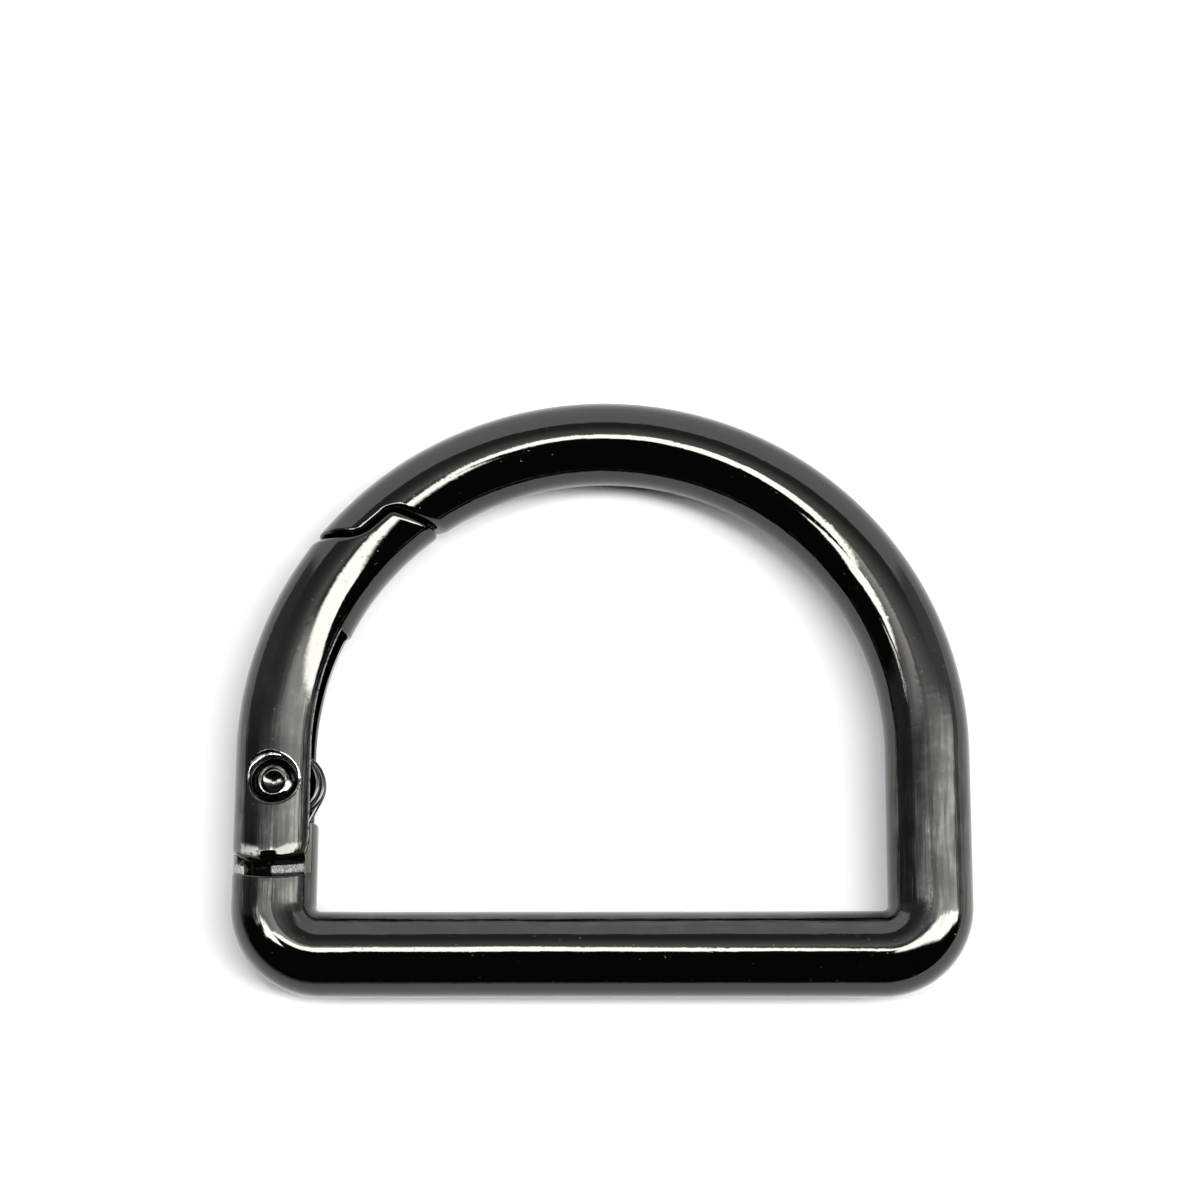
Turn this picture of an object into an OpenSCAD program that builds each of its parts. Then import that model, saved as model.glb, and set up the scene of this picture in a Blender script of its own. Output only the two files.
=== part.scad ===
// Spring gate D-ring: a cast ring of round bar lying flat, with a spring-closed gate in its upper left.
// The ring lies in X and Y with its straight bar along X and its arc towards +Y. Z is up, 0 is the surface
// that it lies on, and X and Y are 0 in the middle of its outline. Lengths are in millimetres.

/* [Ring] */
// Clear width between the two legs
inner_w = 38; // [30:1:50]
// Diameter of the round bar
bar_d = 5.7; // [5.5:0.1:6]
// From the centre of the arc down to the middle of the straight bar
bar_drop = 13.7; // [12.5:0.1:18]
// Radius of the two lower corners, on the middle of the bar
corner_r = 3.25; // [3.1:0.05:4]

/* [Seam] */
// Clear gap between the hook and the gate's nose
seam_gap = 0.45; // [0.3:0.05:0.6]
// Direction of the seam's inner end seen from the centre of the arc, in degrees from +X
seam_angle = 130.9; // [126:0.1:134]

/* [Hinge] */
// From the end of the arc down the left leg to the hinge axis
pin_drop = 2.3; // [2:0.1:3]
// Diameter of the hinge pin between its heads
pin_d = 1.7; // [1.4:0.1:1.8]
// Diameter of each head's foot
pin_head_d = 2.44; // [2.2:0.02:2.6]
// Diameter of the round seat sunk into the gate over each end of the pin
seat_d = 3.5; // [3.2:0.1:3.8]
// Radius of the gate's rounded tail about the hinge axis
tail_r = 5.35; // [5:0.05:5.6]
// Radius of the ring's hollow shoulder about the hinge axis
shoulder_r = 6.65; // [6.3:0.05:7]
// Radial running clearance between the pin and the tongue
pin_play = 0.05; // [0.02:0.01:0.1]

/* [Gate channel] */
// Width of the channel cut in the gate's inner side
slot_w = 2.9; // [2.7:0.1:3.1]
// Clearance between the tongue and each wall of the channel
slot_play = 0.15; // [0.1:0.05:0.2]
// Depth of the channel past the middle of the bar, along the leg
slot_depth = 1.58; // [1.5:0.02:1.7]
// Depth of the channel past the middle of the bar, along the arc
arc_slot_depth = 0.4; // [0.2:0.1:0.8]
// Direction of the channel's square end seen from the centre of the arc, in degrees from +X
slot_end_angle = 154.9; // [150:0.1:160]

/* [Spring] */
// Diameter of the spring wire
wire_d = 0.42; // [0.35:0.01:0.45]
// Outer diameter of the coil
coil_d = 4.62; // [4.5:0.02:4.7]
// How far the loose coil hangs inward of the hinge axis
coil_slack = 0.95; // [0.9:0.01:1]
// Rise from one turn to the next
coil_pitch = 0.45; // [0.44:0.01:0.48]

/* [Hidden] */
$fn = 96;

bar_r = bar_d / 2;
arc_r = inner_w / 2 + bar_r;
tiny = 0.01;
past = 2;

corner_x = arc_r - corner_r;
leg_len = bar_drop - corner_r;
ring_y = (bar_drop - arc_r) / 2;

// The seam's corners, each as its angle past the seam's direction and its height over the bar's middle line
seam_out = [13.3, 3.75];
seam_step = [7.5, 0.2];
seam_nose = [0, 0.05];
seam_in = [-8.8, -4.2];
seam_line = [for (p = [seam_out, seam_step, seam_nose, seam_in]) polar(arc_r + p[1], seam_angle + p[0])];
// The arc blanks of ring and gate reach this far past the seam before it cuts them
seam_spare = 17;

// Sizes from the hinge axis, which lies on the middle of the left leg
tongue_half = slot_w / 2 - slot_play;
tongue_back = slot_depth - slot_play;
tongue_top = 2.7;
lug_top_z = -0.3;
lug_inset = 0.05;
coil_room = 2.9;

// The gate's seat for each pin head, and the head itself
seat_z = 1.95;
head_lift = 0.03;
head_z = 2.55;
head_rim_r = 0.93;
hollow_r = 0.75;
hollow_depth = 0.45;
hollow_tip = 0.35;
bore_play = 0.02;

// A small square notch in the middle of the gate's tail
notch_w = 1;
notch_depth = 0.35;
notch_shift = -0.17;
notch_z = 1.7;

// The lower spring leg ends in this pocket of the tongue
pocket_w = 0.9;
pocket_depth = 0.75;
pocket_x = 1.85;

// The coil turns clockwise and downwards from the gate's leg to the tongue's leg
wire_r = wire_d / 2;
coil_r = coil_d / 2 - wire_r;
coil_z = 1;
coil_start = 35;
coil_stop = -27 - 2 * 360;
coil_steps = 56;
gate_leg = 4.6;
tongue_leg = 2.3;
wire_sides = 10;

function polar(r, a) = [r * cos(a), r * sin(a)];
function unit(v) = v / norm(v);
function left_of(v) = [-v[1], v[0]];

// A bent line moved sideways by d, with its corners mitred
function side_of(line, i) = left_of(unit(line[i + 1] - line[i]));
function mitre(a, b) = (a + b) / (1 + a * b);
function moved(line, d) = [
    for (i = [0 : len(line) - 1])
        line[i] + d * (
            i == 0 ? side_of(line, 0)
            : i == len(line) - 1 ? side_of(line, i - 1)
            : mitre(side_of(line, i - 1), side_of(line, i))
        )
];

// From the arc's centre to the surface that the ring lies on
module placed() {
    translate([0, ring_y, bar_r]) children();
}

// The hinge axis as the origin
module at_pin() {
    translate([-arc_r, -pin_drop, 0]) children();
}

// Round bar along the arc between two angles
module arc_bar(from, to) {
    rotate_extrude(angle = to - from, start = from) translate([arc_r, 0]) circle(r = bar_r);
}

// Round bar down the left leg, between two distances below the end of the arc
module leg_bar(from, to) {
    translate([-arc_r, -from, 0]) rotate([90, 0, 0]) cylinder(r = bar_r, h = to - from);
}

module lower_corner() {
    translate([-corner_x, -leg_len, 0])
        rotate_extrude(angle = 90, start = 180) translate([corner_r, 0]) circle(r = bar_r);
}

module straight_bar() {
    translate([-corner_x, -bar_drop, 0]) rotate([0, 90, 0]) cylinder(r = bar_r, h = 2 * corner_x);
}

// Everything on the gate's side of the seam, or on the hook's side, as a cutter
module seam_cutter(side, edge_angle) {
    far = arc_r + 2 * bar_d;
    near = arc_r - 2 * bar_d;
    linear_extrude(height = bar_d + past, center = true)
        polygon(concat(moved(seam_line, side * seam_gap / 2), [polar(near, edge_angle), polar(far, edge_angle)]));
}

// The tongue in plan: a block that fills the channel, and an eye round the pin under the coil
module tongue() {
    translate([-tongue_back, -shoulder_r - past, -tongue_half])
        cube([tongue_back + bar_d, shoulder_r + past - tongue_top, 2 * tongue_half]);
    translate([0, 0, -tongue_half]) {
        cylinder(r = tongue_back, h = tongue_half + lug_top_z);
        translate([-tongue_back + lug_inset, -tongue_top - lug_inset, 0])
            cube([2 * (tongue_back - lug_inset), tongue_top + lug_inset, tongue_half + lug_top_z]);
    }
}

// What the stub of the left leg loses: the gate's swing outside the tongue, the pin's bore, the spring's pocket
module stub_cuts() {
    difference() {
        cylinder(r = shoulder_r, h = bar_d + past, center = true);
        tongue();
    }
    cylinder(r = pin_d / 2 + pin_play, h = bar_d + past, center = true);
    translate([pocket_x - pocket_w / 2, -tongue_top - pocket_depth, lug_top_z])
        cube([pocket_w, pocket_depth + past, bar_d]);
}

module frame() {
    color([0.22, 0.21, 0.2]) placed() {
        union() {
            difference() {
                arc_bar(0, seam_angle + seam_spare);
                seam_cutter(1, seam_angle + seam_spare + past);
            }
            for (flip = [0, 1]) mirror([flip, 0, 0]) lower_corner();
            straight_bar();
            mirror([1, 0, 0]) leg_bar(0, leg_len);
            difference() {
                leg_bar(pin_drop - tongue_back - tiny, leg_len);
                at_pin() stub_cuts();
            }
        }
    }
}

// The channel that opens to the inside of the ring, wide enough for the tongue and the coil
module gate_channel() {
    rotate_extrude(angle = 180 - slot_end_angle, start = slot_end_angle)
        translate([arc_r - bar_d, -slot_w / 2]) square([bar_d + arc_slot_depth, slot_w]);
    at_pin() translate([-slot_depth, -tail_r - past, -slot_w / 2])
        cube([slot_depth + bar_d, tail_r + past + coil_room, slot_w]);
}

// The gate's cheeks: the pin's bore, its sunk seats, and the notch in the tail
module cheek_cuts() {
    cylinder(r = pin_d / 2 + bore_play, h = bar_d + past, center = true);
    for (flip = [0, 1]) mirror([0, 0, flip]) translate([0, 0, seat_z]) cylinder(d = seat_d, h = bar_r);
    translate([notch_shift - notch_w / 2, -tail_r - past, notch_z]) cube([notch_w, past + notch_depth, bar_r]);
}

// What rounds the gate's tail about the hinge axis
module tail_cutter() {
    difference() {
        translate([-bar_d, -2 * tail_r, -bar_d]) cube([2 * bar_d, 1.5 * tail_r, 2 * bar_d]);
        cylinder(r = tail_r, h = 3 * bar_d, center = true);
    }
}

module gate() {
    color([0.24, 0.22, 0.21]) placed() difference() {
        union() {
            arc_bar(seam_angle - seam_spare, 180);
            leg_bar(0, pin_drop + tail_r + tiny);
        }
        seam_cutter(-1, seam_angle - seam_spare - past);
        gate_channel();
        at_pin() {
            cheek_cuts();
            tail_cutter();
        }
    }
}

// A flared and punched head on each end of a plain shank
module hinge_pin() {
    foot_z = seat_z + head_lift;
    floor_z = head_z - hollow_depth;
    half = [
        [0, 0], [pin_d / 2, 0], [pin_d / 2, foot_z], [pin_head_d / 2, foot_z],
        [head_rim_r, head_z], [hollow_r, head_z], [hollow_r, floor_z], [0, floor_z - hollow_tip]
    ];
    color([0.3, 0.29, 0.28]) placed() at_pin()
        for (flip = [0, 1]) mirror([0, 0, flip]) rotate_extrude() polygon(half);
}

// The wire's middle line from the gate's leg, round the coil, to the tongue's leg
function coil_angle(i) = coil_start + (coil_stop - coil_start) * i / coil_steps;
function coil_point(i) = concat(
    [coil_slack, 0] + polar(coil_r, coil_angle(i)),
    coil_z - coil_pitch * (coil_start - coil_angle(i)) / 360
);
function heading(a) = [sin(a), -cos(a), 0];
wire_line = concat(
    [coil_point(0) - gate_leg * heading(coil_start)],
    [for (i = [0 : coil_steps]) coil_point(i)],
    [coil_point(coil_steps) + tongue_leg * heading(coil_stop)]
);

function line_heading(line, i) = unit(line[min(i + 1, len(line) - 1)] - line[max(i - 1, 0)]);
function wire_ring(line, i) =
    let (t = line_heading(line, i), n = unit(cross(t, [0, 0, 1])), b = cross(n, t))
    [for (k = [0 : wire_sides - 1]) line[i] + wire_r * (cos(360 * k / wire_sides) * n + sin(360 * k / wire_sides) * b)];

module spring() {
    last = len(wire_line) - 1;
    points = [for (i = [0 : last]) each wire_ring(wire_line, i)];
    sides = [
        for (i = [0 : last - 1], k = [0 : wire_sides - 1])
            let (next = (k + 1) % wire_sides)
            [i * wire_sides + k, (i + 1) * wire_sides + k, (i + 1) * wire_sides + next, i * wire_sides + next]
    ];
    first_cap = [for (k = [0 : wire_sides - 1]) k];
    last_cap = [for (k = [wire_sides - 1 : -1 : 0]) last * wire_sides + k];
    color([0.55, 0.55, 0.56]) placed() at_pin() polyhedron(points, concat(sides, [first_cap, last_cap]));
}

frame();
gate();
hinge_pin();
spring();
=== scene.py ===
"""Spring gate D-ring in polished gunmetal plate, lying flat on a pale surface.

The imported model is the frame. The ring's body and gate are meshed here from signed distances, so that every
cast edge has its small round, and the rivet and the coil spring are turned and swept. Sizes are in metres,
and MM makes millimetres readable. Plan places are measured from the centre of the ring's arc, and heights
from the middle of its bar.
"""

import math

import bpy
import numpy as np
from mathutils import Matrix, Vector


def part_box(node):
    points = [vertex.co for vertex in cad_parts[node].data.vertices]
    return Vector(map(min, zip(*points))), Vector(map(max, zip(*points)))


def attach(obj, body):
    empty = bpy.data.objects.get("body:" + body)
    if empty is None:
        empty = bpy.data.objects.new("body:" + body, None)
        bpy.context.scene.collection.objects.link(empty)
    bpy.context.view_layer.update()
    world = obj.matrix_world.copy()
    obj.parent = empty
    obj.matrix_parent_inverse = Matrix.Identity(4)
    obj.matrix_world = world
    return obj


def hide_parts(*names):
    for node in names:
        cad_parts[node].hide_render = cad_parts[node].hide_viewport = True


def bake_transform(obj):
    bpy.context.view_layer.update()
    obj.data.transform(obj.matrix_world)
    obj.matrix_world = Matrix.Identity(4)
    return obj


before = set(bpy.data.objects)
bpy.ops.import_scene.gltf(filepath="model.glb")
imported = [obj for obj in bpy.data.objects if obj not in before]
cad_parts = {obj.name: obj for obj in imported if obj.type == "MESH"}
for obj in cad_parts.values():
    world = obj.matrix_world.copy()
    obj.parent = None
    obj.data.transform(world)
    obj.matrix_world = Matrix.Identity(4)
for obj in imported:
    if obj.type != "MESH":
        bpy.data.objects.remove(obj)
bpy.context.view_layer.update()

bl_info = {
    "name": "Spring Gate D-Ring",
    "version": (1, 0, 0),
    "blender": (4, 5, 0),
    "location": "View3D > Sidebar > D-Ring",
    "description": "Builds a polished spring gate D-ring around its packed frame",
    "category": "Object",
}

MM = 0.001
MICRON = 1e-6
FAR = 1.0
RING_LOW, RING_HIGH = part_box("frame")
PIN_LOW, PIN_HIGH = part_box("hinge_pin")

# The ring's own sizes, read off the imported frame
BAR_R = (RING_HIGH.z - RING_LOW.z) / 2
ARC_R = (RING_HIGH.x - RING_LOW.x) / 2 - BAR_R
RING_Y = RING_HIGH.y - BAR_R - ARC_R
BAR_DROP = RING_Y - RING_LOW.y - BAR_R
PIN_X = (PIN_LOW.x + PIN_HIGH.x) / 2
PIN_Y = (PIN_LOW.y + PIN_HIGH.y) / 2 - RING_Y

# The seam's corners: degrees past the seam's direction, and height over the bar's middle line
SEAM_CORNERS = (
    (13.3, 3.75 * MM),
    (7.5, 0.2 * MM),
    (0.0, 0.05 * MM),
    (-8.8, -4.2 * MM),
)


def length(name, description, default):
    """A size in metres, shown in the panel."""
    return bpy.props.FloatProperty(
        name=name, description=description, default=default, min=0, unit="LENGTH", precision=5
    )


def number(name, description, default):
    """A plain number, shown in the panel."""
    return bpy.props.FloatProperty(name=name, description=description, default=default, min=0)


def colour(name, description, default):
    """A colour, shown in the panel."""
    return bpy.props.FloatVectorProperty(
        name=name, description=description, default=default, min=0, max=1, size=3, subtype="COLOR"
    )


class RingShape(bpy.types.PropertyGroup):
    """Sizes of the ring's body, its seam and its gate."""

    corner_r: length("Corner", "Radius of the two lower corners on the bar's middle line", 3.25 * MM)
    seam_gap: length("Seam gap", "Clear gap between the hook and the gate's nose", 0.2 * MM)
    seam_direction: number("Seam direction", "Degrees from +X to the nose, from the arc's centre", 130.9)
    seam_round: length("Seam corners", "Radius of the seam's corners in plan", 0.48 * MM)
    nose_round: length("Nose", "Radius of the gate's worn edges at the seam", 0.5 * MM)
    hook_round: length("Hook", "Radius of the hook's edges at the seam", 0.35 * MM)
    rim_round: length("Rims", "Radius of the cast edges at the channel and the shoulder", 0.13 * MM)
    tail_r: length("Gate's tail", "Radius of the gate's tail about the hinge", 5.35 * MM)
    tail_round: length("Tail's lip", "Radius of the rounded lip of the gate's tail", 0.15 * MM)
    shoulder_r: length("Shoulder", "Radius of the ring's hollow shoulder about the hinge", 6.65 * MM)
    seat_r: length("Rivet seat", "Radius of the round seat sunk into the gate", 1.6 * MM)
    seat_height: length("Seat floor", "Height of the seat's floor over the bar's middle", 1.95 * MM)
    slot_w: length("Channel width", "Width of the channel in the gate's inner side", 2.9 * MM)
    slot_depth: length("Channel depth", "Depth of the channel past the pin at the hinge", 1.58 * MM)
    arc_slot_depth: length("Arc channel depth", "Depth of the channel past the bar's middle", 0.4 * MM)
    slot_end: number("Channel's end", "Degrees from +X to the channel's square end", 154.9)
    slot_play: length("Tongue play", "Clearance between the tongue and the channel's walls", 0.15 * MM)
    notch_w: length("Notch", "Width of the square notch in the gate's tail", 1.0 * MM)
    fine_step: length("Fine step", "Mesh step near the seam and the hinge", 0.085 * MM)


class RivetShape(bpy.types.PropertyGroup):
    """Sizes of the hinge pin and its two punched heads."""

    shank_r: length("Shank", "Radius of the pin between its heads", 0.85 * MM)
    foot_r: length("Foot", "Radius of each flared head", 1.22 * MM)
    foot_height: length("Foot height", "Height of the head's foot over the bar's middle", 1.98 * MM)
    rim_r: length("Rim", "Radius of each head's rim", 0.88 * MM)
    rim_height: length("Rim height", "Height of the rim over the bar's middle", 2.55 * MM)
    hollow_r: length("Hollow", "Radius of the punched hollow", 0.75 * MM)
    hollow_depth: length("Hollow depth", "Depth of the hollow's wall, above its bowl", 0.42 * MM)


class SpringShape(bpy.types.PropertyGroup):
    """Sizes of the torsion spring round the hinge pin."""

    wire_r: length("Wire", "Radius of the spring wire", 0.21 * MM)
    coil_r: length("Coil", "Radius of the coil on the wire's middle line", 2.0 * MM)
    coil_slack: length("Slack", "How far the loose coil hangs inward of the pin", 0.78 * MM)
    coil_height: length("Height", "Height of the coil's first turn over the bar's middle", 1.0 * MM)
    coil_pitch: length("Pitch", "Drop from one turn to the next", 0.45 * MM)
    coil_lean: length("Lean", "How much further inward the lower turns lie", 0.32 * MM)
    gate_leg: length("Gate leg", "Length of the straight leg in the gate", 4.6 * MM)
    tongue_leg: length("Tongue leg", "Length of the straight leg in the tongue", 2.3 * MM)


class RingFinish(bpy.types.PropertyGroup):
    """Colours of the plating, the wire and the surface, and the strength of the lamps."""

    plate: colour("Plating", "Reflected colour of the gunmetal plating", (0.052, 0.05, 0.046))
    bare: colour("Bare metal", "Colour of the rough ledges that the plating missed", (0.085, 0.083, 0.08))
    # The edge colour is plating rubbed off and bare ledges, and also the painted highlights and glints on the
    # gate's seat, channel and lip and on the rivet's crowns.
    edge: colour("Worn edges", "Colour of the edges where the plating is rubbed off", (0.32, 0.31, 0.29))
    wire: colour("Spring wire", "Reflected colour of the spring wire", (0.035, 0.034, 0.033))
    floor: colour("Floor", "Colour of the pale surface", (0.52, 0.52, 0.53))
    lamp: number("Lamps", "Brightness of the ceiling lamps", 20.0)


def polar(radius, degrees):
    """The plan place at a distance and a direction from the arc's centre."""
    turn = math.radians(degrees)
    return (radius * math.cos(turn), radius * math.sin(turn))


def smoothstep(value, low, high):
    """0 at low and 1 at high, smooth between them."""
    t = np.clip((value - low) / (high - low), 0, 1)
    return t * t * (3 - 2 * t)


# Signed distances: under zero is metal


def rounded_max(a, b, radius):
    """What is inside both a and b, with the edge between them rounded."""
    corner = np.hypot(np.maximum(a + radius, 0), np.maximum(b + radius, 0))
    return np.minimum(np.maximum(a, b), -radius) + corner


def rounded_min(a, b, radius):
    """What is inside a or b, with the groove between them rounded."""
    return -rounded_max(-a, -b, radius)


def beside_line(x, y, start, end):
    """Distance in plan from the line through two points, over zero on its left."""
    run = (end[0] - start[0], end[1] - start[1])
    return (run[0] * (y - start[1]) - run[1] * (x - start[0])) / math.hypot(*run)


def beside_bar(k, x, y):
    """Distance in plan from the bar's middle line, over zero outside the ring."""
    past_x = np.abs(x) - (ARC_R - k.corner_r)
    past_y = -y - (BAR_DROP - k.corner_r)
    lower = np.hypot(np.maximum(past_x, 0), np.maximum(past_y, 0)) - k.corner_r
    lower += np.minimum(np.maximum(past_x, past_y), 0)
    return np.where(y >= 0, np.hypot(x, y) - ARC_R, lower)


def past_seam(k, x, y):
    """Distance in plan from the middle of the seam, over zero on the hook's side."""
    corners = [polar(ARC_R + height, k.seam_direction + past) for past, height in SEAM_CORNERS]
    outer, step, inner = (beside_line(x, y, a, b) for a, b in zip(corners, corners[1:]))
    return rounded_max(rounded_min(outer, step, k.seam_round), inner, k.seam_round)


def channel(k, x, y, z, across):
    """The channel in the gate's inner side: shallow along the arc, deep round the spring."""
    coil_room = 2.9 * MM
    walls = np.abs(z) - k.slot_w / 2
    shallow = np.maximum(across - k.arc_slot_depth, -beside_line(x, y, (0, 0), polar(1, k.slot_end)))
    deep = np.maximum(-k.slot_depth - (x - PIN_X), y - (PIN_Y + coil_room))
    return np.maximum(walls, np.minimum(shallow, deep))


def gate_metal(k, x, y, z):
    """The gate: the bar from the seam to its worn tail, less the channel, seats, strike, notch and bore."""
    strike_shift = (-0.26 * MM, 0.34 * MM)
    strike_r = 1.5 * MM
    strike_height = 2.4 * MM
    strike_round = 0.08 * MM
    notch_shift = -0.17 * MM
    notch_depth = 0.35 * MM
    notch_floor = -0.5 * MM
    notch_round = 0.07 * MM
    bore_r = 0.87 * MM
    seat_slope = 0.45
    seat_flat_r = 1.05 * MM
    seat_round = 0.24 * MM
    channel_round = 1.3 * k.rim_round
    lip_from, lip_to = 1.2 * MM, 2.4 * MM
    worn_least, worn_growth = 0.45 * MM, 0.4
    worn_from, worn_width = -0.5 * MM, 1.6 * MM
    worn_droop = 0.14 / MM
    across = beside_bar(k, x, y)
    east, north = x - PIN_X, y - PIN_Y
    from_pin = np.hypot(east, north)
    worn_length = worn_least + worn_growth * np.clip(east - worn_from, 0, worn_width)
    worn = np.where(north < 0, np.maximum(from_pin - k.tail_r + worn_length, 0), 0)
    bar = np.hypot(across, z) - BAR_R + worn_droop * worn**2
    metal = rounded_max(bar, past_seam(k, x, y) + k.seam_gap / 2, k.nose_round)
    lip = k.rim_round + (k.tail_round - k.rim_round) * smoothstep(np.abs(z), lip_from, lip_to)
    metal = rounded_max(metal, np.where(north < 0, from_pin - k.tail_r, -FAR), lip)
    metal = rounded_max(metal, -channel(k, x, y, z, across), channel_round)
    floor = k.seat_height - seat_slope * np.maximum(from_pin - seat_flat_r, 0)
    seat = np.maximum(from_pin - k.seat_r, floor - np.abs(z))
    metal = rounded_max(metal, -seat, seat_round)
    from_strike = np.hypot(east - strike_shift[0], north - strike_shift[1])
    strike = np.maximum(from_strike - strike_r, strike_height - z)
    metal = rounded_max(metal, -strike, strike_round)
    notch = np.maximum(np.abs(east - notch_shift) - k.notch_w / 2, notch_floor - z)
    notch = np.maximum(notch, north + k.tail_r - notch_depth)
    metal = rounded_max(metal, -notch, notch_round)
    return np.maximum(metal, bore_r - from_pin)


def tongue(k, east, north, z):
    """The ring's tongue in the gate's channel: a block, and a half eye round the pin under the coil."""
    top = -2.7 * MM
    eye_top = -0.3 * MM
    groove_from, groove_to = 4.8 * MM, 6.7 * MM
    groove_side, groove_slope = 2.13 * MM, 0.35
    half = k.slot_w / 2 - k.slot_play
    back = k.slot_depth - k.slot_play
    from_pin = np.hypot(east, north)
    block = np.maximum(-back - east, north - top)
    neck = np.maximum(np.abs(east) - back, np.maximum(north, top - north))
    eye = np.minimum(from_pin - back, neck)
    grooved = (east < groove_side) * (from_pin < groove_to)
    sunk = groove_slope * np.maximum(from_pin - groove_from, 0) * grooved
    return np.maximum(np.abs(z) - half + sunk, np.minimum(block, np.maximum(eye, z - eye_top)))


def ledges(k, across, east, north, z):
    """What stands in the shoulder's hollow: a rough ledge on the right, and a low wall on the left."""
    right_drop = 0.42 * MM
    right_from, right_to, right_end = 5.85 * MM, 6.4 * MM, 2.3 * MM
    tail_play = 0.12 * MM
    wall_drop, wall_end = 0.05 * MM, -2.3 * MM
    wall_widens, wall_bend = 0.25, -5.4 * MM
    base_end, base_top = -1.2 * MM, 1.2 * MM
    base_from, base_slope = 4.8 * MM, 0.35
    bar = np.hypot(across, z) - BAR_R
    from_pin = np.hypot(east, north)
    band = np.maximum(right_from - from_pin, from_pin - right_to)
    right = np.maximum(np.maximum(-east, east - right_end), band)
    right = np.maximum(right, bar + right_drop)
    wall = east - wall_end - wall_widens * np.maximum(wall_bend - north, 0)
    base = np.maximum(east - base_end, z - base_top + base_slope * (from_pin - base_from))
    left = np.maximum(np.minimum(wall, base), np.maximum(bar + wall_drop, k.tail_r + tail_play - from_pin))
    return right, np.maximum(left, north)


def frame_metal(k, x, y, z):
    """The ring's body: the bar up to the hook, less the gate's room, with the tongue and the ledges."""
    seam_reach = 9 * MM
    bore_r = 0.9 * MM
    pocket = (1.4 * MM, 2.3 * MM)
    pocket_floor = -3.45 * MM
    pocket_low = -0.3 * MM
    nose_x, nose_y = polar(ARC_R, k.seam_direction)
    across = beside_bar(k, x, y)
    east, north = x - PIN_X, y - PIN_Y
    from_pin = np.hypot(east, north)
    near = np.hypot(x - nose_x, y - nose_y) < seam_reach
    hook = np.where(near, k.seam_gap / 2 - past_seam(k, x, y), -FAR)
    metal = rounded_max(np.hypot(across, z) - BAR_R, hook, k.hook_round)
    kept = np.minimum(k.shoulder_r - from_pin, tongue(k, east, north, z))
    kept = np.minimum(kept, np.minimum(*ledges(k, across, east, north, z)))
    metal = rounded_max(metal, kept, k.rim_round)
    hole = np.maximum(np.maximum(pocket[0] - east, east - pocket[1]), pocket_low - z)
    metal = np.maximum(metal, -np.maximum(hole, pocket_floor - north))
    return np.maximum(metal, bore_r - from_pin)


# Lengths along the bar, clockwise from the top of the left leg


def bar_stretches(k):
    """The length of each stretch of the bar, and its turning radius, or None where it is straight."""
    leg = (BAR_DROP - k.corner_r, None)
    corner = (math.pi / 2 * k.corner_r, k.corner_r)
    return ((math.pi * ARC_R, ARC_R), leg, corner, (2 * (ARC_R - k.corner_r), None), corner, leg)


def bar_ends(k):
    """Where each stretch of the bar ends."""
    return list(np.cumsum([stretch for stretch, _ in bar_stretches(k)]))


def travelled(spot, heading, radius, run):
    """The place and heading after a straight or clockwise run, as complex numbers x + iy."""
    if radius is None:
        return spot + heading * run, heading
    turned = heading * np.exp(-1j * run / radius)
    return spot + 1j * radius * (turned - heading), turned


def off_bar(k, along, outward):
    """Plan places at lengths along the bar and distances outward of its middle line."""
    spot, heading, start = complex(-ARC_R, 0), 1j, 0.0
    places = spot + heading * (along + 1j * outward)
    for stretch, radius in bar_stretches(k):
        line, turned = travelled(spot, heading, radius, along - start)
        places = np.where(along >= start, line + 1j * turned * outward, places)
        spot, heading = travelled(spot, heading, radius, stretch)
        start += stretch
    return places.real, places.imag


def along_bar(k, x, y):
    """Length along the ring's bar from the top of its left leg, all the way round."""
    leg, middle = BAR_DROP - k.corner_r, ARC_R - k.corner_r
    turned = np.arctan2(np.maximum(-y - leg, 0), np.maximum(np.abs(x) - middle, 0))
    lower = np.minimum(-y, leg) + k.corner_r * turned + middle - np.minimum(np.abs(x), middle)
    around = np.where(x > 0, math.pi * ARC_R + lower, bar_ends(k)[-1] - lower)
    return np.where(y >= 0, ARC_R * (math.pi - np.arctan2(y, x)), around)


def steps(*stretches):
    """Grid places: each stretch is its start, its end and the widest step between them."""
    decimals = 9
    places = []
    for start, end, widest in stretches:
        count = max(2, math.ceil((end - start) / widest) + 1)
        places.append(np.linspace(start, end, count))
    return np.unique(np.concatenate(places).round(decimals))


# Surfaces from signed distances


def surface_net(values):
    """Corner places, in grid steps, and four-sided faces where the values change sign."""
    cells = np.array(values.shape) - 1
    sums = np.zeros((3, cells.prod()))
    counts = np.zeros(cells.prod())
    unit = np.eye(3, dtype=int)
    faces = []
    for axis in range(3):
        along, side, rise = (unit[(axis + turn) % 3] for turn in range(3))
        size = np.array(values.shape) - along
        low = values[: size[0], : size[1], : size[2]]
        high = values[along[0] :, along[1] :, along[2] :]
        crossed = np.argwhere((low < 0) != (high < 0))
        at_low = low[tuple(crossed.T)]
        share = at_low / (at_low - high[tuple(crossed.T)])
        spots = crossed + share[:, None] * along
        around = [crossed - side - rise, crossed - rise, crossed, crossed - side]
        numbers = np.stack([np.ravel_multi_index(tuple(cell.T), cells) for cell in around], 1)
        for cell in numbers.T:
            counts += np.bincount(cell, minlength=len(counts))
            for part in range(3):
                sums[part] += np.bincount(cell, spots[:, part], len(counts))
        faces.append(np.where((at_low < 0)[:, None], numbers, numbers[:, ::-1]))
    used = counts > 0
    corner_of = np.cumsum(used) - 1
    return (sums[:, used] / counts[used]).T, corner_of[np.concatenate(faces)]


def unit_rows(vectors):
    """The same directions, each brought to length one."""
    tiny = 1e-9
    return vectors / np.maximum(np.linalg.norm(vectors, axis=1), tiny)[:, None]


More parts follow.
